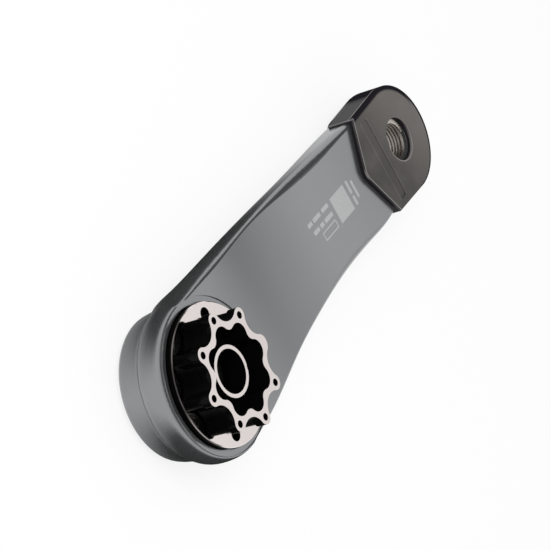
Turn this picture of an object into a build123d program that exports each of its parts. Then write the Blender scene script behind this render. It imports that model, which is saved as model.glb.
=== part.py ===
from build123d import *
import os
from math import cos, radians, sin

os.makedirs("parts", exist_ok=True)

# The origin is on the spindle axis, in the plane that the chainring bolts against.
# +Z points inwards, at the bicycle, and +X runs along the arm to the pedal axis.

# Crank
crank_length = 155.0
inner_face_z = -9.8
outer_face_z = -31.0

# Hub end of the arm
hub_radius = 27.65
hub_belly_z = -29.0
hub_shoulder_width = 1.5
hub_shoulder_depth = 5.8
hub_roundness = 0.98
boss_top_z = -18.0
boss_belly_z = -24.0
boss_inset = 2.5
boss_top_taper = 0.75
boss_foot_taper = 1.45
boss_edge_round = 3.0
groove_round = 2.0

# Blade between the hub and the pedal end
waist_left = 23.8
waist_right = 20.3
waist_dip = 3.5
waist_belly_z = -26.0
waist_shoulder_width = 2.0
waist_shoulder_depth = 3.6
waist_roundness = 0.9

# Pedal end of the arm
pedal_end_radius = 19.0
pedal_end_share = 1.005
pedal_face_z = -10.5
pedal_belly_z = -23.6
pedal_shoulder_width = 1.8
pedal_shoulder_depth = 2.6
pedal_roundness = 0.34
pedal_thread_radius = 7.145
pedal_entry_radius = 8.02
pedal_entry_z = -11.4
pedal_seat_radius = 10.0
pedal_seat_z = -22.4

# Seat for the chainring mount
land_depth = 0.4
land_width = 1.95
seat_floor_z = -12.0
fit_clearance = 0.05

# Chainring mount
flange_gap = 0.4
flange_face_z = -7.96
flange_chamfer = 0.3
flange_hole_radius = 2.3
flange_hole_margin = 4.1
lobe_count = 8
blank_lobe_angle = -2.9
lobe_tip_radius = 20.6
blank_tip_radius = 18.95
lobe_valley_radius = 15.6
lobe_valley_arc = 5.8
plate_thickness = 3.4
neck_inset = 0.7
ring_bolt_circle = 18.1
ring_bolt_radius = 1.25
ring_bolt_depth = 6.0
pocket_tip_radius = 15.4
pocket_valley_radius = 12.9
pocket_valley_arc = 3.0
pocket_floor_z = -9.0
tube_radius = 8.63
tube_bore_radius = 7.35
tube_face_z = -3.33
stem_radius = 13.0
stem_end_z = -18.0

# Fixing bolt, its washer and the cap over it, on the outer side
bolt_radius = 7.0
bolt_clearance = 0.2
bolt_tip_z = -9.6
bolt_tip_chamfer = 0.8
web_outer_z = -21.5
washer_thickness = 1.5
washer_radius = 11.6
head_radius = 11.0
head_height = 5.0
head_chamfer = 0.6
socket_width = 8.0
socket_depth = 4.0
well_radius = 13.0
cap_clearance = 0.1
cap_bore_radius = 7.5
cap_thickness = 2.2
cap_inset = 0.4
cap_chamfer = 0.4
cap_pin_radius = 1.1
cap_pin_circle = 10.2
cap_pin_count = 6

# Rubber boot over the pedal end
boot_face_thickness = 1.9
boot_belly_thickness = 1.2
boot_end_radius = 20.0
boot_left = 20.1
boot_right = 18.2
boot_root_x = 120.0
boot_edge_round = 0.7
boot_foot_round = 5.8
boot_point_x = 125.8
boot_point_y = 1.2
boot_corner_x = 134.8
boot_corner_y = 19.4
boot_skirt_left_x = 131.5
boot_skirt_right_x = 137.0
boot_underside_x = 140.0
boot_underside_z = -19.5
boot_point_round = 6.0
boot_outer_hole_radius = 10.2
strip_x = 140.0
strip_width = 4.6
strip_length = 32.0
strip_depth = 0.3

# Margin by which a cutting tool stands past what it cuts
overcut = 5.0


def turned(x, y, angle):
    """The point (x, y) turned about the origin by an angle in degrees."""
    a = radians(angle)
    return (x * cos(a) - y * sin(a), x * sin(a) + y * cos(a))


def blade_section(x, right, left, top, belly, width, depth, roundness):
    """Section across the arm: flat inner face, rounded shoulders and rounder outer corners."""
    waist = top - depth
    middle = (left - right) / 2
    half_width = (left + right) / 2
    flat = half_width - width
    corner_width = roundness * half_width
    corner_depth = roundness * (waist - belly)
    keel = half_width - corner_width
    foot = belly + corner_depth
    with BuildSketch(Plane(origin=(x, 0, 0), x_dir=(0, 1, 0), z_dir=(1, 0, 0))) as section:
        with BuildLine():
            Line((middle - flat, top), (middle + flat, top))
            EllipticalCenterArc((middle + flat, waist), width, depth, 0, arc_size=90)
            Line((middle + half_width, waist), (middle + half_width, foot))
            EllipticalCenterArc((middle + keel, foot), corner_width, corner_depth, 270, arc_size=90)
            Line((middle + keel, belly), (middle - keel, belly))
            EllipticalCenterArc((middle - keel, foot), corner_width, corner_depth, 180, arc_size=90)
            Line((middle - half_width, foot), (middle - half_width, waist))
            EllipticalCenterArc((middle - flat, waist), width, depth, 90, arc_size=90)
        make_face()
    return section.sketch


def end_section(x, radius, top, belly, width, depth, roundness):
    """Half of a blade section, to be turned about the upright axis at x."""
    waist = top - depth
    flat = radius - width
    corner_width = roundness * radius
    corner_depth = roundness * (waist - belly)
    keel = radius - corner_width
    foot = belly + corner_depth
    with BuildSketch(Plane(origin=(x, 0, 0), x_dir=(0, 1, 0), z_dir=(1, 0, 0))) as section:
        with BuildLine():
            Line((0, belly), (0, top))
            Line((0, top), (flat, top))
            EllipticalCenterArc((flat, waist), width, depth, 0, arc_size=90)
            Line((radius, waist), (radius, foot))
            EllipticalCenterArc((keel, foot), corner_width, corner_depth, 270, arc_size=90)
            Line((keel, belly), (0, belly))
        make_face()
    return section.sketch


def scallops(z, valley, valley_arc, tips, inset=0.0):
    """Closed outline of tangent arcs at height z: a lobe for each tip, equal valleys between."""
    pitch = 360 / len(tips)
    arc_centre = valley + valley_arc
    along = arc_centre * cos(radians(pitch / 2))
    across = arc_centre * sin(radians(pitch / 2))
    flanks = []
    for tip in tips:
        reach = tip + valley_arc
        lobe_centre = (reach**2 - arc_centre**2) / (2 * (reach - along))
        share = (tip - lobe_centre) / (reach - lobe_centre)
        flanks.append((lobe_centre + share * (along - lobe_centre), share * across))
    with BuildSketch(Plane.XY.offset(z)) as outline:
        with BuildLine():
            for k, tip in enumerate(tips):
                angle = blank_lobe_angle + k * pitch
                x, y = flanks[k]
                next_x, next_y = flanks[(k + 1) % len(tips)]
                flank = turned(x, y, angle)
                ThreePointArc(turned(x, -y, angle), turned(tip, 0, angle), flank)
                floor = turned(valley, 0, angle + pitch / 2)
                ThreePointArc(flank, floor, turned(next_x, -next_y, angle + pitch))
        make_face()
        if inset:
            offset(amount=-inset)
    return outline.sketch


land_radius = hub_radius - hub_shoulder_width
seat_radius = land_radius - land_width
boss_radius = hub_radius - boss_inset
boss_top_radius = boss_radius - boss_top_taper
boss_foot_radius = boss_radius - boss_foot_taper
flange_radius = seat_radius - flange_gap
flange_hole_circle = flange_radius - flange_hole_margin
hub_profile = (
    inner_face_z,
    hub_belly_z,
    hub_shoulder_width,
    hub_shoulder_depth,
    hub_roundness,
)
pedal_profile = (
    pedal_face_z,
    pedal_belly_z,
    pedal_shoulder_width,
    pedal_shoulder_depth,
    pedal_roundness,
)
waist_profile = (
    inner_face_z - waist_dip,
    waist_belly_z,
    waist_shoulder_width,
    waist_shoulder_depth,
    waist_roundness,
)
end_centre_x = pedal_end_share * crank_length
end_axis = Axis((end_centre_x, 0, 0), (0, 0, 1))

# Sections along the blade: share of the crank length, right edge, left edge, inner face,
# outer face, the width and depth of the shoulder, and the roundness of the outer corners
blade_stations = [
    (0.0, hub_radius, hub_radius, *hub_profile),
    (0.03, hub_radius - 0.35, hub_radius - 0.4, inner_face_z, hub_belly_z, 1.8, 8.8, 0.98),
    (0.09, hub_radius - 1.0, hub_radius - 0.6, inner_face_z, hub_belly_z, 2.0, 7.4, 0.98),
    (0.16, hub_radius - 2.55, hub_radius - 0.8, inner_face_z, hub_belly_z, 2.2, 5.8, 0.97),
    (0.31, 22.0, 25.5, inner_face_z - 0.6 * waist_dip, -27.5, 1.7, 4.4, 0.94),
    (0.465, waist_right, waist_left, *waist_profile),
    (0.61, 18.95, 22.25, -12.5, -25.0, 3.2, 3.7, 0.8),
    (0.74, 19.05, 20.9, -11.3, -24.4, 2.8, 4.2, 0.6),
    (0.86, 18.3, 19.4, *pedal_profile),
    (pedal_end_share, pedal_end_radius, pedal_end_radius, *pedal_profile),
]

# Arm
with BuildPart() as arm:
    loft([blade_section(share * crank_length, *sizes) for share, *sizes in blade_stations])
    # Half-round ends, about the spindle axis and just beyond the pedal axis
    revolve(
        end_section(0, hub_radius, *hub_profile),
        axis=Axis.Z,
        revolution_arc=180,
    )
    revolve(
        end_section(end_centre_x, pedal_end_radius, *pedal_profile),
        axis=end_axis,
        revolution_arc=-180,
    )
    # Boss on the outer side of the hub, with a soft groove where it meets the shoulder
    with BuildSketch(Plane.XZ):
        with BuildLine():
            Polyline((boss_top_radius, boss_top_z), (0, boss_top_z), (0, outer_face_z))
            Line((0, outer_face_z), (boss_foot_radius, outer_face_z))
            ThreePointArc(
                (boss_foot_radius, outer_face_z),
                (boss_radius, boss_belly_z),
                (boss_top_radius, boss_top_z),
            )
        make_face()
    revolve(axis=Axis.Z)
    groove = arm.edges().filter_by(GeomType.BSPLINE).sort_by(Axis.X)[0]
    fillet(groove, groove_round)
    fillet(arm.edges().filter_by(GeomType.CIRCLE).sort_by(Axis.Z)[0], boss_edge_round)
    # Seat for the chainring mount, inside a shallow turned land
    with BuildSketch(Plane.XY.offset(inner_face_z - land_depth)):
        Circle(land_radius)
    extrude(amount=overcut, mode=Mode.SUBTRACT)
    with BuildSketch(Plane.XY.offset(seat_floor_z)):
        Circle(seat_radius)
    extrude(amount=overcut, mode=Mode.SUBTRACT)
    with BuildSketch(Plane.XY.offset(stem_end_z)):
        Circle(stem_radius + fit_clearance)
    extrude(until=Until.LAST, mode=Mode.SUBTRACT)
    # Way through for the bolt, and a well for its head and cap
    with BuildSketch(Plane.XY.offset(outer_face_z)):
        Circle(bolt_radius + bolt_clearance)
    extrude(until=Until.LAST, mode=Mode.SUBTRACT)
    with BuildSketch(Plane.XY.offset(web_outer_z)):
        Circle(well_radius)
    extrude(amount=outer_face_z - web_outer_z - overcut, mode=Mode.SUBTRACT)
    # Pedal hole, with a wider entry on the inner side and a flat seat on the outer side
    with BuildSketch(Plane.XY.offset(pedal_belly_z - overcut)):
        with Locations((crank_length, 0)):
            Circle(pedal_thread_radius)
    extrude(until=Until.LAST, mode=Mode.SUBTRACT)
    with BuildSketch(Plane.XY.offset(pedal_entry_z)):
        with Locations((crank_length, 0)):
            Circle(pedal_entry_radius)
    extrude(amount=overcut, mode=Mode.SUBTRACT)
    with BuildSketch(Plane.XY.offset(pedal_seat_z)):
        with Locations((crank_length, 0)):
            Circle(pedal_seat_radius)
    extrude(amount=-overcut, mode=Mode.SUBTRACT)

# Chainring mount: flange, lobed head, pocket and hollow stem in one turned and milled piece
lobe_tips = [blank_tip_radius] + [lobe_tip_radius] * (lobe_count - 1)
pocket_tips = [pocket_tip_radius] * lobe_count
ring_bolt_angles = [blank_lobe_angle + k * 360 / lobe_count for k in range(1, lobe_count)]
with BuildPart() as chainring_mount:
    with BuildSketch(Plane.XY.offset(seat_floor_z)):
        Circle(flange_radius)
    extrude(amount=flange_face_z - seat_floor_z)
    chamfer(chainring_mount.edges().group_by(Axis.Z)[-1], flange_chamfer)
    extrude(scallops(0, lobe_valley_radius, lobe_valley_arc, lobe_tips), amount=-plate_thickness)
    extrude(
        scallops(-plate_thickness, lobe_valley_radius, lobe_valley_arc, lobe_tips, neck_inset),
        amount=flange_face_z + plate_thickness,
    )
    with BuildSketch(Plane.XY.offset(seat_floor_z)):
        Circle(stem_radius)
    extrude(amount=stem_end_z - seat_floor_z)
    # Pocket round the central tube
    extrude(
        scallops(0, pocket_valley_radius, pocket_valley_arc, pocket_tips),
        amount=pocket_floor_z,
        mode=Mode.SUBTRACT,
    )
    with BuildSketch(Plane.XY.offset(pocket_floor_z)):
        Circle(tube_radius)
    extrude(amount=tube_face_z - pocket_floor_z)
    with BuildSketch(Plane.XY.offset(stem_end_z)):
        Circle(tube_bore_radius)
    extrude(until=Until.LAST, mode=Mode.SUBTRACT)
    # Tapped holes for the chainring bolts, and two plain holes through the flange
    with BuildSketch(Plane.XY):
        for angle in ring_bolt_angles:
            with Locations(turned(ring_bolt_circle, 0, angle)):
                Circle(ring_bolt_radius)
    extrude(amount=-ring_bolt_depth, mode=Mode.SUBTRACT)
    with BuildSketch(Plane.XY.offset(seat_floor_z)):
        with PolarLocations(flange_hole_circle, 2, start_angle=blank_lobe_angle + 1.5 * 360 / lobe_count):
            Circle(flange_hole_radius)
    extrude(amount=flange_face_z - seat_floor_z + overcut, mode=Mode.SUBTRACT)

# Fixing bolt, entered from the outer side
head_top_z = web_outer_z - washer_thickness
head_face_z = head_top_z - head_height
with BuildPart() as crank_bolt:
    with BuildSketch(Plane.XY.offset(head_top_z)):
        Circle(bolt_radius)
    extrude(amount=bolt_tip_z - head_top_z)
    chamfer(crank_bolt.edges().group_by(Axis.Z)[-1], bolt_tip_chamfer)
    with BuildSketch(Plane.XY.offset(head_top_z)):
        Circle(head_radius)
    extrude(amount=-head_height)
    chamfer(crank_bolt.edges().group_by(Axis.Z)[0], head_chamfer)
    with BuildSketch(Plane.XY.offset(head_face_z)):
        RegularPolygon(socket_width / 2, 6, major_radius=False)
    extrude(amount=socket_depth, mode=Mode.SUBTRACT)

# Washer under the bolt head
with BuildPart() as bolt_washer:
    with BuildSketch(Plane.XY.offset(web_outer_z)):
        Circle(washer_radius)
        Circle(bolt_radius + bolt_clearance, mode=Mode.SUBTRACT)
    extrude(amount=-washer_thickness)

# Cap ring that holds the bolt in its well
with BuildPart() as extractor_cap:
    with BuildSketch(Plane.XY.offset(outer_face_z + cap_inset)):
        Circle(well_radius - cap_clearance)
        Circle(cap_bore_radius, mode=Mode.SUBTRACT)
        with PolarLocations(cap_pin_circle, cap_pin_count):
            Circle(cap_pin_radius, mode=Mode.SUBTRACT)
    extrude(amount=cap_thickness)
    chamfer(extractor_cap.edges().group_by(Axis.Z)[0].sort_by(SortBy.LENGTH)[-1], cap_chamfer)

# Rubber boot: a flat-faced block with straight sides, hollowed by the arm and cut along a V
boot_face_z = pedal_face_z + boot_face_thickness
boot_belly_z = pedal_belly_z - boot_belly_thickness
with BuildPart() as end_boot:
    with BuildSketch(Plane.XY.offset(boot_belly_z)):
        with BuildLine():
            Polyline(
                (end_centre_x, boot_end_radius),
                (boot_root_x, boot_left),
                (boot_root_x, -boot_right),
                (end_centre_x, -boot_end_radius),
            )
            ThreePointArc(
                (end_centre_x, -boot_end_radius),
                (end_centre_x + boot_end_radius, 0),
                (end_centre_x, boot_end_radius),
            )
        make_face()
    extrude(amount=boot_face_z - boot_belly_z)
    fillet(end_boot.edges().group_by(Axis.Z)[-1], boot_edge_round)
    fillet(end_boot.edges().group_by(Axis.Z)[0], boot_foot_round)
    edge_y = boot_end_radius + overcut
    end_x = end_centre_x + edge_y
    with BuildSketch(Plane.XY.offset(outer_face_z)) as seam:
        with BuildLine():
            Polyline(
                (boot_skirt_left_x, edge_y),
                (boot_corner_x, boot_corner_y),
                (boot_point_x, boot_point_y),
                (boot_corner_x, -boot_corner_y),
                (boot_skirt_right_x, -edge_y),
                (end_x, -edge_y),
                (end_x, edge_y),
                (boot_skirt_left_x, edge_y),
            )
        make_face()
        fillet(seam.vertices().sort_by(Axis.X)[0], boot_point_round)
    extrude(amount=-outer_face_z, mode=Mode.INTERSECT)
    # The lip under the arm starts further out than the face does
    with BuildSketch(Plane.XY.offset(boot_underside_z)):
        with Locations((boot_underside_x, 0)):
            Rectangle(boot_underside_x - boot_root_x, 2 * edge_y, align=(Align.MAX, Align.CENTER))
    extrude(amount=-overcut - boot_foot_round, mode=Mode.SUBTRACT)
    add(arm.part, mode=Mode.SUBTRACT)
    with BuildSketch(Plane.XY.offset(pedal_belly_z - overcut)):
        with Locations((crank_length, 0)):
            Circle(pedal_entry_radius)
    extrude(until=Until.LAST, mode=Mode.SUBTRACT)
    with BuildSketch(Plane.XY.offset(pedal_seat_z)):
        with Locations((crank_length, 0)):
            Circle(boot_outer_hole_radius)
    extrude(amount=-overcut, mode=Mode.SUBTRACT)
    # Shallow strip across the inner face
    with BuildSketch(Plane.XY.offset(boot_face_z - strip_depth)):
        with Locations((strip_x, 0)):
            RectangleRounded(strip_width, strip_length, strip_width / 4)
    extrude(amount=overcut, mode=Mode.SUBTRACT)

arm.part.label = "arm_body"
chainring_mount.part.label = "chainring_mount"
crank_bolt.part.label = "crank_bolt"
bolt_washer.part.label = "bolt_washer"
extractor_cap.part.label = "extractor_cap"
end_boot.part.label = "end_boot"

export_step(arm.part, "parts/arm_body.step")
export_step(chainring_mount.part, "parts/chainring_mount.step")
export_step(crank_bolt.part, "parts/crank_bolt.step")
export_step(bolt_washer.part, "parts/bolt_washer.step")
export_step(extractor_cap.part, "parts/extractor_cap.step")
export_step(end_boot.part, "parts/end_boot.step")
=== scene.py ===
from math import cos, pi, radians, sin, tan

import bmesh
import bpy
from mathutils import Matrix, Vector


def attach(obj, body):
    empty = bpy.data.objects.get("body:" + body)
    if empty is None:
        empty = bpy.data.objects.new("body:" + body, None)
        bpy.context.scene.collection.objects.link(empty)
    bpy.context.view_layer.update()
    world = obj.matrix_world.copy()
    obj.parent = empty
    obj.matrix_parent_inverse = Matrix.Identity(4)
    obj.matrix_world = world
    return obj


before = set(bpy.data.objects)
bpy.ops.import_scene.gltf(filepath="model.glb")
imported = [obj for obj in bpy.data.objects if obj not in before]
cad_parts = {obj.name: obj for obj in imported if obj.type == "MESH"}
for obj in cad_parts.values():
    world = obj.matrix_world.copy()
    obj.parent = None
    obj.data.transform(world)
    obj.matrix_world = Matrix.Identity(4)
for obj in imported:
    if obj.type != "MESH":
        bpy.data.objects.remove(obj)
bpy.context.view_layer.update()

MM = 0.001
CRANK_LENGTH = 155.0 * MM


# Helpers for node trees and objects

class Nodes:
    """Short calls to add nodes to a node tree and to join them."""

    def __init__(self, tree):
        self.nodes = tree.nodes
        self.links = tree.links

    def put(self, socket, value):
        """Joins value to the socket if it is another socket, or sets it as a number or colour."""
        if isinstance(value, bpy.types.NodeSocket):
            self.links.new(value, socket)
        else:
            socket.default_value = value

    def add(self, kind, settings=None, **inputs):
        node = self.nodes.new(kind)
        for name, value in (settings or {}).items():
            setattr(node, name, value)
        for name, value in inputs.items():
            self.put(node.inputs[name.replace("_", " ")], value)
        return node

    def math(self, operation, *values):
        node = self.add("ShaderNodeMath", {"operation": operation})
        for socket, value in zip(node.inputs, values):
            self.put(socket, value)
        return node.outputs[0]

    def fold(self, operation, values):
        """The operation on all the values, from the first to the last."""
        total = values[0]
        for value in values[1:]:
            total = self.math(operation, total, value)
        return total

    def times(self, *values):
        return self.fold("MULTIPLY", values)

    def plus(self, *values):
        return self.fold("ADD", values)

    def largest(self, *values):
        return self.fold("MAXIMUM", values)

    def length(self, x, y):
        return self.math("SQRT", self.plus(self.times(x, x), self.times(y, y)))

    def dot(self, vector, other):
        node = self.add("ShaderNodeVectorMath", {"operation": "DOT_PRODUCT"})
        self.put(node.inputs[0], vector)
        self.put(node.inputs[1], other)
        return node.outputs["Value"]

    def axes(self, vector):
        return self.add("ShaderNodeSeparateXYZ", Vector=vector).outputs

    def ramp(self, value, low, high):
        """0 where value is at low, 1 where it is at high, smooth between and level beyond."""
        node = self.add("ShaderNodeMapRange", {"interpolation_type": "SMOOTHSTEP"})
        for name, number in (("Value", value), ("From Min", low), ("From Max", high)):
            self.put(node.inputs[name], number)
        return node.outputs["Result"]

    def mix(self, factor, a, b, blend_type="MIX"):
        """Colour a where factor is 0 and b, blended in that way, where it is 1."""
        node = self.add("ShaderNodeMix", {"data_type": "RGBA", "blend_type": blend_type})
        self.put(node.inputs[0], factor)
        self.put(node.inputs[6], a)
        self.put(node.inputs[7], b)
        return node.outputs[2]

    def blend(self, factor, a, b):
        """Number a where factor is 0 and b where it is 1."""
        node = self.add("ShaderNodeMix", {"data_type": "FLOAT"})
        self.put(node.inputs[0], factor)
        self.put(node.inputs[2], a)
        self.put(node.inputs[3], b)
        return node.outputs[0]

    def is_shown(self):
        """1 for the rays that see the background: from the camera, mirrored or let through."""
        rays = self.nodes.new("ShaderNodeLightPath").outputs
        return self.largest(*(rays[f"Is {kind} Ray"] for kind in ("Camera", "Glossy", "Transmission")))


class Shader(Nodes):
    """A material with its Principled shader."""

    def __init__(self, name):
        self.mat = bpy.data.materials.new(name)
        self.mat.use_nodes = True
        super().__init__(self.mat.node_tree)
        self.bsdf = self.nodes["Principled BSDF"]
        texture = self.nodes.new("ShaderNodeTexCoord")
        self.coords = texture.outputs["Object"]
        self.normal = texture.outputs["Normal"]

    def noise(self, scale, detail):
        """Noise with about scale bumps to the metre, in the object's own space."""
        node = self.add("ShaderNodeTexNoise", Vector=self.coords, Scale=scale, Detail=detail)
        return node.outputs["Fac"]

    def facing_up(self, low, high):
        """The ramp of the normal's z, which is 1 on a level surface that faces up."""
        return self.ramp(self.axes(self.normal)[2], low, high)

    def step(self, value, low, high):
        """The ramp between two places in millimetres."""
        return self.ramp(value, low * MM, high * MM)

    def band(self, value, low, high, soft):
        """1 between two places in millimetres, 0 outside, with soft edges."""
        rise = self.ramp(value, low * MM - soft * MM, low * MM + soft * MM)
        fall = self.ramp(value, high * MM + soft * MM, high * MM - soft * MM)
        return self.times(rise, fall)

    def patch(self, x, y, box, soft):
        """1 inside a rectangle of x low, x high, y low and y high in millimetres."""
        x_low, x_high, y_low, y_high = box
        return self.times(self.band(x, x_low, x_high, soft), self.band(y, y_low, y_high, soft))

    def bump(self, height, strength, distance):
        node = self.add("ShaderNodeBump", Height=height, Strength=strength, Distance=distance)
        self.put(self.bsdf.inputs["Normal"], node.outputs["Normal"])

    def set(self, **values):
        for name, value in values.items():
            self.put(self.bsdf.inputs[name.replace("_", " ")], value)

    def join(self, factor, first, second):
        """Shows the first shader where factor is 0 and the second where it is 1."""
        both = self.nodes.new("ShaderNodeMixShader")
        for socket, value in zip(both.inputs, (factor, first.outputs[0], second.outputs[0])):
            self.put(socket, value)
        self.put(self.nodes["Material Output"].inputs["Surface"], both.outputs[0])

    def dress(self, *nodes):
        """Gives this material to all of these nodes of the frame."""
        for node in nodes:
            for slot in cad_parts[node].material_slots:
                slot.material = self.mat


def grey(level):
    return (level, level, level, 1)


def put_in_scene(name, data):
    item = bpy.data.objects.new(name, data)
    bpy.context.collection.objects.link(item)
    return item


def plane(name, size, material):
    bpy.ops.mesh.primitive_plane_add(size=size)
    item = bpy.context.object
    item.name = name
    item.data.materials.append(material)
    return item


# Arm: satin grey, with plain pale marks etched where the maker prints a code. The marks are
# rectangles of x low, x high, y low and y high, in millimetres from the spindle's axis.
DASHES = (
    (86.0, 89.0, 4.0, 5.6), (90.0, 95.2, 4.0, 5.6), (96.6, 101.3, 4.0, 5.6),
    (87.2, 91.2, 0.4, 2.0), (92.2, 94.6, 0.4, 2.0), (95.6, 101.3, 0.4, 2.0),
    (115.4, 116.8, -4.3, -0.6), (115.4, 116.8, 0.4, 5.5), (118.2, 119.5, -2.8, 4.0),
)
SQUARE = (103.4, 113.6, -4.5, 5.6)
BOX = (91.4, 101.0, -4.3, -1.1)
BOX_LINE = 0.4
MARK_EDGE = 0.08
BOX_STRENGTH, MARK_STRENGTH = 1.1, 0.5
INNER_FACE_UP = (0.9, 0.96)
INNER_FACE_Z = (-18.0, -16.0)

arm = Shader("arm_satin")
grain = arm.noise(5200.0, 2.0)
cloud = arm.noise(45.0, 2.0)
x, y, z = arm.axes(arm.coords)
solid_marks = arm.largest(*(arm.patch(x, y, mark, MARK_EDGE) for mark in (*DASHES, SQUARE)))
unevenness = arm.ramp(arm.noise(1500.0, 1.0), 0.38, 0.55)
solid_marks = arm.times(solid_marks, arm.blend(unevenness, 0.9, 1.0))
x_low, x_high, y_low, y_high = BOX
box_inside = (x_low + BOX_LINE, x_high - BOX_LINE, y_low + BOX_LINE, y_high - BOX_LINE)
box_line = arm.math(
    "SUBTRACT", arm.patch(x, y, BOX, MARK_EDGE), arm.patch(x, y, box_inside, MARK_EDGE)
)
marks = arm.largest(solid_marks, arm.times(box_line, BOX_STRENGTH))
on_inner_face = arm.times(arm.facing_up(*INNER_FACE_UP), arm.step(z, *INNER_FACE_Z))
satin = arm.mix(grain, (0.235, 0.24, 0.247, 1), (0.315, 0.321, 0.330, 1))
arm.set(
    Base_Color=arm.mix(arm.times(marks, on_inner_face, MARK_STRENGTH), satin, (0.62, 0.63, 0.62, 1)),
    Metallic=0.88,
    Roughness=arm.blend(cloud, 0.20, 0.25),
)
arm.bump(grain, 0.2, 0.03 * MM)
arm.dress("arm_body")

# Chainring mount: gloss black, with the inward faces machined bright afterwards
MACHINED_UP = (0.5, 0.66)
MACHINED_Z = (-8.6, -8.45)

mount = Shader("mount_black_and_machined")
z = mount.axes(mount.coords)[2]
machined = mount.times(mount.facing_up(*MACHINED_UP), mount.step(z, *MACHINED_Z))
speck = mount.noise(2600.0, 3.0)
mount.set(
    Base_Color=mount.mix(machined, grey(0.002), (0.80, 0.735, 0.715, 1)),
    Metallic=machined,
    Roughness=mount.blend(machined, mount.blend(speck, 0.05, 0.11), mount.blend(speck, 0.05, 0.10)),
    IOR=1.15,
)
mount.dress("chainring_mount")

# Bolt and washer: blackened steel
steel = Shader("bolt_black_steel")
mill_scale = steel.noise(1800.0, 4.0)
steel.set(
    Base_Color=steel.mix(mill_scale, (0.02, 0.02, 0.021, 1), (0.05, 0.049, 0.048, 1)),
    Metallic=1.0,
    Roughness=steel.blend(mill_scale, 0.32, 0.5),
)
steel.dress("crank_bolt", "bolt_washer")

# Extractor cap: black, a little dusty
cap = Shader("cap_black")
dust = cap.noise(2200.0, 3.0)
cap.set(
    Base_Color=cap.mix(dust, (0.012, 0.012, 0.013, 1), (0.03, 0.03, 0.031, 1)),
    Metallic=0.4,
    Roughness=cap.blend(dust, 0.25, 0.42),
)
cap.dress("extractor_cap")

# Rubber boot: matt moulded face, coloured lighter than the smooth dark sides and cut edge, partly as
# painted sheen. Painted shade along the left rim and the tip's rim, and painted highlights along its
# edges.
# All places are in millimetres. Two numbers give where a zone begins and where it is full.
FACE_Z = (-9.6, -9.2)
MATT_UP, MATT_Z = (0.8, 0.97), (-14.0, -12.0)
SEAM_POINT, SEAM_CORNER = (125.8, 1.2), (134.8, 19.4)
SEAM_ROUND = 2.25
# The last number on the seam, wall, hole and strip lines is the strength of a painted highlight along
# that edge. The skirt's number makes the left wall lighter in front of the seam corner.
SEAM_LINE, SEAM_LINE_EDGE, SEAM_HIGHLIGHT = (0.05, 0.4), 0.12, 0.5
LEFT_Y = (3.0, 10.0)
WALL_REACH = (19.3, 19.7)
WALL_LINE_Z, WALL_LINE_EDGE, WALL_HIGHLIGHT = (-10.75, -10.35), 0.15, 0.45
SKIRT_X, SKIRT_Z, SKIRT_LIGHTER = (135.0, 134.4), (-19.6, -19.2), 1.4
HOLE_REACH, HOLE_Y, HOLE_HIGHLIGHT = (8.6, 8.25), (5.0, -6.0), 0.4
STRIP_SIDES_X, STRIP_HALF_LENGTH = (137.6, 142.4), 16.2
STRIP_LINE, STRIP_LINE_EDGE, STRIP_HIGHLIGHT = 0.3, 0.2, 0.12
# Painted shade: the rim and tip numbers give where the rounded rim on the left and at the tip is
# coloured dark and given no reflection.
RIM_REACH, RIM_Z = (17.9, 19.0), (-10.3, -10.0)
TIP_REACH, TIP_X = (19.1, 19.5), (148.0, 154.0)
# Painted sheen: the face's colour grows lighter along this direction, between these two places.
SHEEN_ACROSS, SHEEN_PLACES = (0.9, 0.44, 0), (118.0, 160.0)

rubber = Shader("boot_rubber")
pores = rubber.noise(3800.0, 3.0)
mottle = rubber.noise(110.0, 2.0)
x, y, z = rubber.axes(rubber.coords)
beyond_pedal = rubber.math("SUBTRACT", x, CRANK_LENGTH)
from_hole = rubber.length(beyond_pedal, y)
from_middle = rubber.length(rubber.largest(beyond_pedal, 0.0), y)
on_left = rubber.step(y, *LEFT_Y)


def seam_distance():
    """Distance beyond the V-shaped seam, whose point is rounded."""
    point = Vector((*SEAM_POINT, 0)) * MM
    distances = []
    for sign in (1, -1):
        corner_x, corner_y = SEAM_CORNER
        along = (Vector((corner_x, sign * corner_y, 0)) * MM - point).normalized()
        across = Vector((abs(along.y), -sign * along.x, 0))
        distances.append(
            rubber.math("SUBTRACT", rubber.dot(rubber.coords, across), point.dot(across))
        )
    return rubber.math("SMOOTH_MIN", *distances, SEAM_ROUND * MM)


def painted_edge_highlights():
    """Painted highlights: how far the dark rubber is coloured light along the boot's edges, where they
    catch light, and how far the left wall in front of the seam corner is coloured lighter.
    """
    seam_line = rubber.times(rubber.band(seam_distance(), *SEAM_LINE, SEAM_LINE_EDGE), SEAM_HIGHLIGHT)
    hole_line = rubber.times(
        rubber.step(from_hole, *HOLE_REACH), rubber.step(y, *HOLE_Y), HOLE_HIGHLIGHT
    )
    strip_lines = rubber.largest(*(
        rubber.patch(
            x, y, (side - STRIP_LINE, side + STRIP_LINE, -STRIP_HALF_LENGTH, STRIP_HALF_LENGTH),
            STRIP_LINE_EDGE,
        )
        for side in STRIP_SIDES_X
    ))
    face_lines = rubber.largest(seam_line, hole_line, rubber.times(strip_lines, STRIP_HIGHLIGHT))
    skirt = rubber.times(rubber.step(x, *SKIRT_X), rubber.step(z, *SKIRT_Z), SKIRT_LIGHTER)
    wall_lines = rubber.largest(rubber.band(z, *WALL_LINE_Z, WALL_LINE_EDGE), skirt)
    on_left_wall = rubber.times(rubber.step(from_middle, *WALL_REACH), on_left)
    return rubber.largest(
        rubber.times(rubber.step(z, *FACE_Z), face_lines),
        rubber.times(wall_lines, on_left_wall, WALL_HIGHLIGHT),
    )


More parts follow.
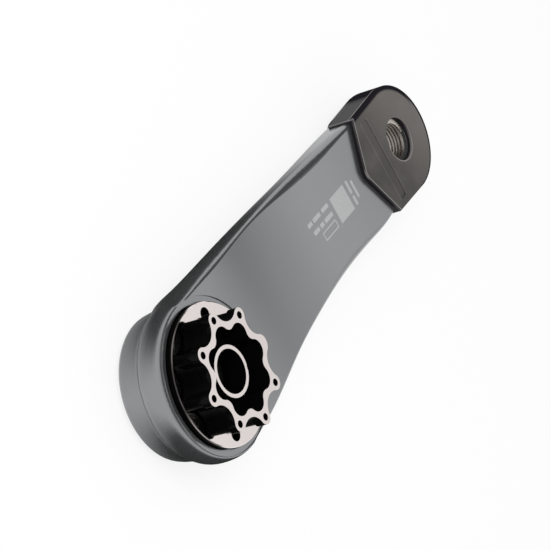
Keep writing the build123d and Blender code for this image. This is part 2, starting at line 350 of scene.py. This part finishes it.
def skin_with_painted_sheen():
    """Colour of the moulded face, with a painted sheen that makes it lighter towards the boot's far
    left end, broken up by mottle.
    """
    skin = rubber.mix(pores, (0.085, 0.079, 0.074, 1), (0.125, 0.117, 0.110, 1))
    place = rubber.step(rubber.dot(rubber.coords, SHEEN_ACROSS), *SHEEN_PLACES)
    sheen_lit = rubber.mix(1.0, skin, rubber.mix(place, grey(0.5), grey(1.35)), "MULTIPLY")
    return rubber.mix(rubber.ramp(mottle, 0.2, 1.2), sheen_lit, skin)


# Painted shade: the rounded rim on the left and at the tip is coloured dark, and its reflection is
# turned off.
left_rim_shade = rubber.times(rubber.step(from_middle, *RIM_REACH), rubber.step(z, *RIM_Z), on_left)
tip_rim_shade = rubber.times(rubber.step(from_middle, *TIP_REACH), rubber.step(x, *TIP_X))
painted_shade_rim = rubber.largest(left_rim_shade, tip_rim_shade)
# The face that looks up is coloured lighter than the smooth dark sides. This is partly a real matt
# moulded finish and partly painted sheen.
matt = rubber.times(rubber.facing_up(*MATT_UP), rubber.step(z, *MATT_Z))
smooth_dark = rubber.mix(pores, (0.009, 0.008, 0.010, 1), (0.016, 0.0145, 0.018, 1))
moulded = rubber.times(matt, rubber.math("SUBTRACT", 1.0, painted_shade_rim))
before_highlights = rubber.mix(moulded, smooth_dark, skin_with_painted_sheen())
rubber.set(
    # Painted highlights: the edge lines are coloured light grey over the rubber.
    Base_Color=rubber.mix(painted_edge_highlights(), before_highlights, (0.42, 0.40, 0.39, 1)),
    Roughness=rubber.blend(matt, 0.45, 0.5),
    Specular_IOR_Level=rubber.blend(painted_shade_rim, 0.5, 0.0),
    IOR=1.25,
)
rubber.bump(pores, 0.2, 0.05 * MM)
rubber.dress("end_boot")

# Pedal thread: a fine helical ridge of bare machined metal inside the pedal hole
THREAD_PITCH = 1.27 * MM
THREAD_CREST = 6.55 * MM
THREAD_TOP, THREAD_BOTTOM = -10.9 * MM, -21.9 * MM
THREAD_STEPS = 72
ROOT_SHARE, CREST_SHARE = 0.42, 0.1
ENTRY_Z = -11.2 * MM
ENTRY_WALL, HOLE_WALL = 8.04 * MM, 7.16 * MM


def thread(name, axis_x):
    """Closed helical ridge in an upright hole, rooted just inside the wall of its entry or bore."""
    ridge = bmesh.new()
    root_half, crest_half = ROOT_SHARE * THREAD_PITCH, CREST_SHARE * THREAD_PITCH
    sections = []
    for i in range(int((THREAD_TOP - THREAD_BOTTOM) / THREAD_PITCH * THREAD_STEPS) + 1):
        angle = 2 * pi * i / THREAD_STEPS
        height = THREAD_TOP - THREAD_PITCH * i / THREAD_STEPS
        root = ENTRY_WALL if height > ENTRY_Z else HOLE_WALL
        profile = (
            (root, root_half), (THREAD_CREST, crest_half),
            (THREAD_CREST, -crest_half), (root, -root_half),
        )
        sections.append([
            ridge.verts.new((axis_x + radius * cos(angle), radius * sin(angle), height + rise))
            for radius, rise in profile
        ])
    for section, following in zip(sections, sections[1:]):
        for k in range(4):
            after = (k + 1) % 4
            ridge.faces.new((section[k], section[after], following[after], following[k]))
    ridge.faces.new(sections[0])
    ridge.faces.new(list(reversed(sections[-1])))
    bmesh.ops.recalc_face_normals(ridge, faces=ridge.faces)
    mesh = bpy.data.meshes.new(name)
    ridge.to_mesh(mesh)
    ridge.free()
    return put_in_scene(name, mesh)


bare = Shader("bare_machined")
streak = bare.noise(3000.0, 2.0)
bare.set(
    Base_Color=bare.mix(streak, (0.52, 0.47, 0.42, 1), (0.68, 0.63, 0.58, 1)),
    Metallic=1.0,
    Roughness=bare.blend(streak, 0.22, 0.38),
)

pedal_thread = thread("pedal_thread_ridge", CRANK_LENGTH)
pedal_thread.data.materials.append(bare.mat)
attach(pedal_thread, "root")

# World: white below and up to WALL_TOP, and from CEILING_START a dark ceiling with soft light
# panels. Camera and mirroring surfaces see it alike, and matt surfaces get a plain even light.
# Each panel has the azimuth, elevation, half width and half height in degrees, then the share
# of its size that its edge fades over, to either side, and its strength.
PANELS = (
    (-36, 38, 19, 24, 0.25, 0.72),
    (-27, 52, 15, 11, 0.75, 0.6),
    (-105, 40, 30, 22, 0.6, 0.3),
    (95, 40, 22, 14, 0.6, 0.12),
    (120, 78, 30, 12, 0.6, 0.5),
)
CEILING_STRENGTH, WALL_STRENGTH, FILL_STRENGTH = 0.07, 1.0, 0.75
WALL_TOP, CEILING_START = sin(radians(12)), sin(radians(18))

world = bpy.data.worlds.new("studio")
bpy.context.scene.world = world
world.use_nodes = True
world.cycles.sampling_method = "NONE"
sky = Nodes(world.node_tree)
background = sky.nodes["Background"]
direction = sky.nodes.new("ShaderNodeTexCoord").outputs["Generated"]


def panel(azimuth, elevation, half_width, half_height, soft, strength):
    """Brightness of a soft oval light panel in the sky."""
    around, above = radians(azimuth), radians(elevation)
    middle = (cos(above) * cos(around), cos(above) * sin(around), sin(above))
    east = (-sin(around), cos(around), 0.0)
    north = (-sin(above) * cos(around), -sin(above) * sin(around), cos(above))
    ahead = sky.dot(direction, middle)
    u, v = (
        sky.math("DIVIDE", sky.dot(direction, side), sky.times(ahead, tan(radians(half_size))))
        for side, half_size in ((east, half_width), (north, half_height))
    )
    inside = sky.ramp(sky.length(u, v), 1.0 + soft, 1.0 - soft)
    return sky.times(inside, sky.ramp(ahead, 0.0, 0.1), strength)


ceiling = sky.plus(CEILING_STRENGTH, *(panel(*sizes) for sizes in PANELS))
wall = sky.ramp(sky.axes(direction)[2], CEILING_START, WALL_TOP)
room = sky.blend(wall, ceiling, WALL_STRENGTH)
sky.put(background.inputs["Strength"], sky.blend(sky.is_shown(), FILL_STRENGTH, room))
background.inputs["Color"].default_value = grey(1)

# Floor: white paper, which mostly shines at a plain strength of 1 for the rays that see it, and
# otherwise takes the light and the part's shadow
FLOOR_SIZE = 8.0
FLOOR_SHINE = 0.82

paper = Shader("white_paper")
fibre = paper.noise(900.0, 3.0)
paper.set(Base_Color=paper.mix(fibre, grey(0.84), grey(0.88)), Roughness=0.9)
shine = paper.add("ShaderNodeEmission", Strength=1.0)
paper.join(paper.times(paper.is_shown(), FLOOR_SHINE), paper.bsdf, shine)


def lowest(names, slope):
    """Height at x = 0 of the highest plane of that slope with all of these nodes above it."""
    corners = (
        node.matrix_world @ vertex.co
        for node in (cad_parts[name] for name in names)
        for vertex in node.data.vertices
    )
    return min(corner.z - slope * corner.x for corner in corners)


def resting_slope():
    """Slope of the plane that both the hub and the boot stand on, found by halving."""
    low, high = 0.0, 0.2
    for _ in range(20):
        slope = (low + high) / 2
        if lowest(("arm_body",), slope) < lowest(("end_boot",), slope):
            low = slope
        else:
            high = slope
    return slope


floor_slope = resting_slope()
floor_z = lowest(("arm_body", "end_boot"), floor_slope)
floor = plane("floor", FLOOR_SIZE, paper.mat)
floor.matrix_world = Matrix(
    ((1, 0, 0, 0), (0, 1, 0, 0), (floor_slope, 0, 1, floor_z), (0, 0, 0, 1))
)


# Black cards, which shade the metal's edges and are seen in mirroring surfaces only. The first
# two are level, so the sloping floor hides what lies lower than it does.

def flag(name, place, facing, half_width, half_height, soft):
    """Oval black card, whose edge fades over that share of its size."""
    card = Shader(name)
    cloth = card.noise(300.0, 2.0)
    card.set(Base_Color=card.mix(cloth, grey(0.004), grey(0.012)), Roughness=0.9)
    u, v, _ = card.axes(card.coords)
    clear = card.nodes.new("ShaderNodeBsdfTransparent")
    card.join(card.ramp(card.length(u, v), 1.0, 1.0 - soft), clear, card.bsdf)
    sheet = plane(name, 2.0, card.mat)
    sheet.location = place
    sheet.scale = (half_width, half_height, 1)
    sheet.rotation_mode = "QUATERNION"
    sheet.rotation_quaternion = Vector(facing).to_track_quat("Z", "Y")
    for kind in ("camera", "diffuse", "transmission", "volume_scatter", "shadow"):
        setattr(sheet, "visible_" + kind, False)


flag("flag_low", (-0.03, -0.075, floor_z + 0.001), (0, 0, 1), 0.086, 0.086, 0.4)
flag("flag_left", (0.05, 0.07, floor_z + 0.003), (0, 0, 1), 0.115, 0.08, 0.5)
flag("flag_far", (0.7, 0.05, 0.1), (-1, 0, 0), 0.3, 0.12, 0.4)

# One soft lamp
KEY_PLACE, KEY_TARGET = Vector((-0.5, 0.5, 0.9)), Vector((0.07, 0, -0.02))
KEY_SIZE, KEY_POWER = 0.6, 8.0

light = bpy.data.lights.new("key", "AREA")
light.shape = "RECTANGLE"
light.size = light.size_y = KEY_SIZE
light.energy = KEY_POWER
lamp = put_in_scene("key", light)
lamp.location = KEY_PLACE
lamp.rotation_mode = "QUATERNION"
lamp.rotation_quaternion = (KEY_TARGET - KEY_PLACE).to_track_quat("-Z", "Y")
lamp.visible_glossy = False

# Camera, at the photograph's place and viewing angle
CAMERA_PLACE = Vector((-0.58759, 0.27882, 0.48492))
VIEW_RIGHT = Vector((0.4060, -0.4689, 0.7844))
VIEW_UP = Vector((0.5228, 0.8232, 0.2215))
VIEW_AHEAD = Vector((0.7496, -0.3202, -0.5793))
LENS, SENSOR_WIDTH = 168.0, 36.0

camera_data = bpy.data.cameras.new("camera")
camera_data.lens = LENS
camera_data.sensor_width = SENSOR_WIDTH
camera = put_in_scene("camera", camera_data)
turn = Matrix((VIEW_RIGHT, VIEW_UP, -VIEW_AHEAD)).transposed()
camera.matrix_world = Matrix.Translation(CAMERA_PLACE) @ turn.to_4x4()
bpy.context.scene.camera = camera
bpy.context.scene.view_settings.view_transform = "Standard"
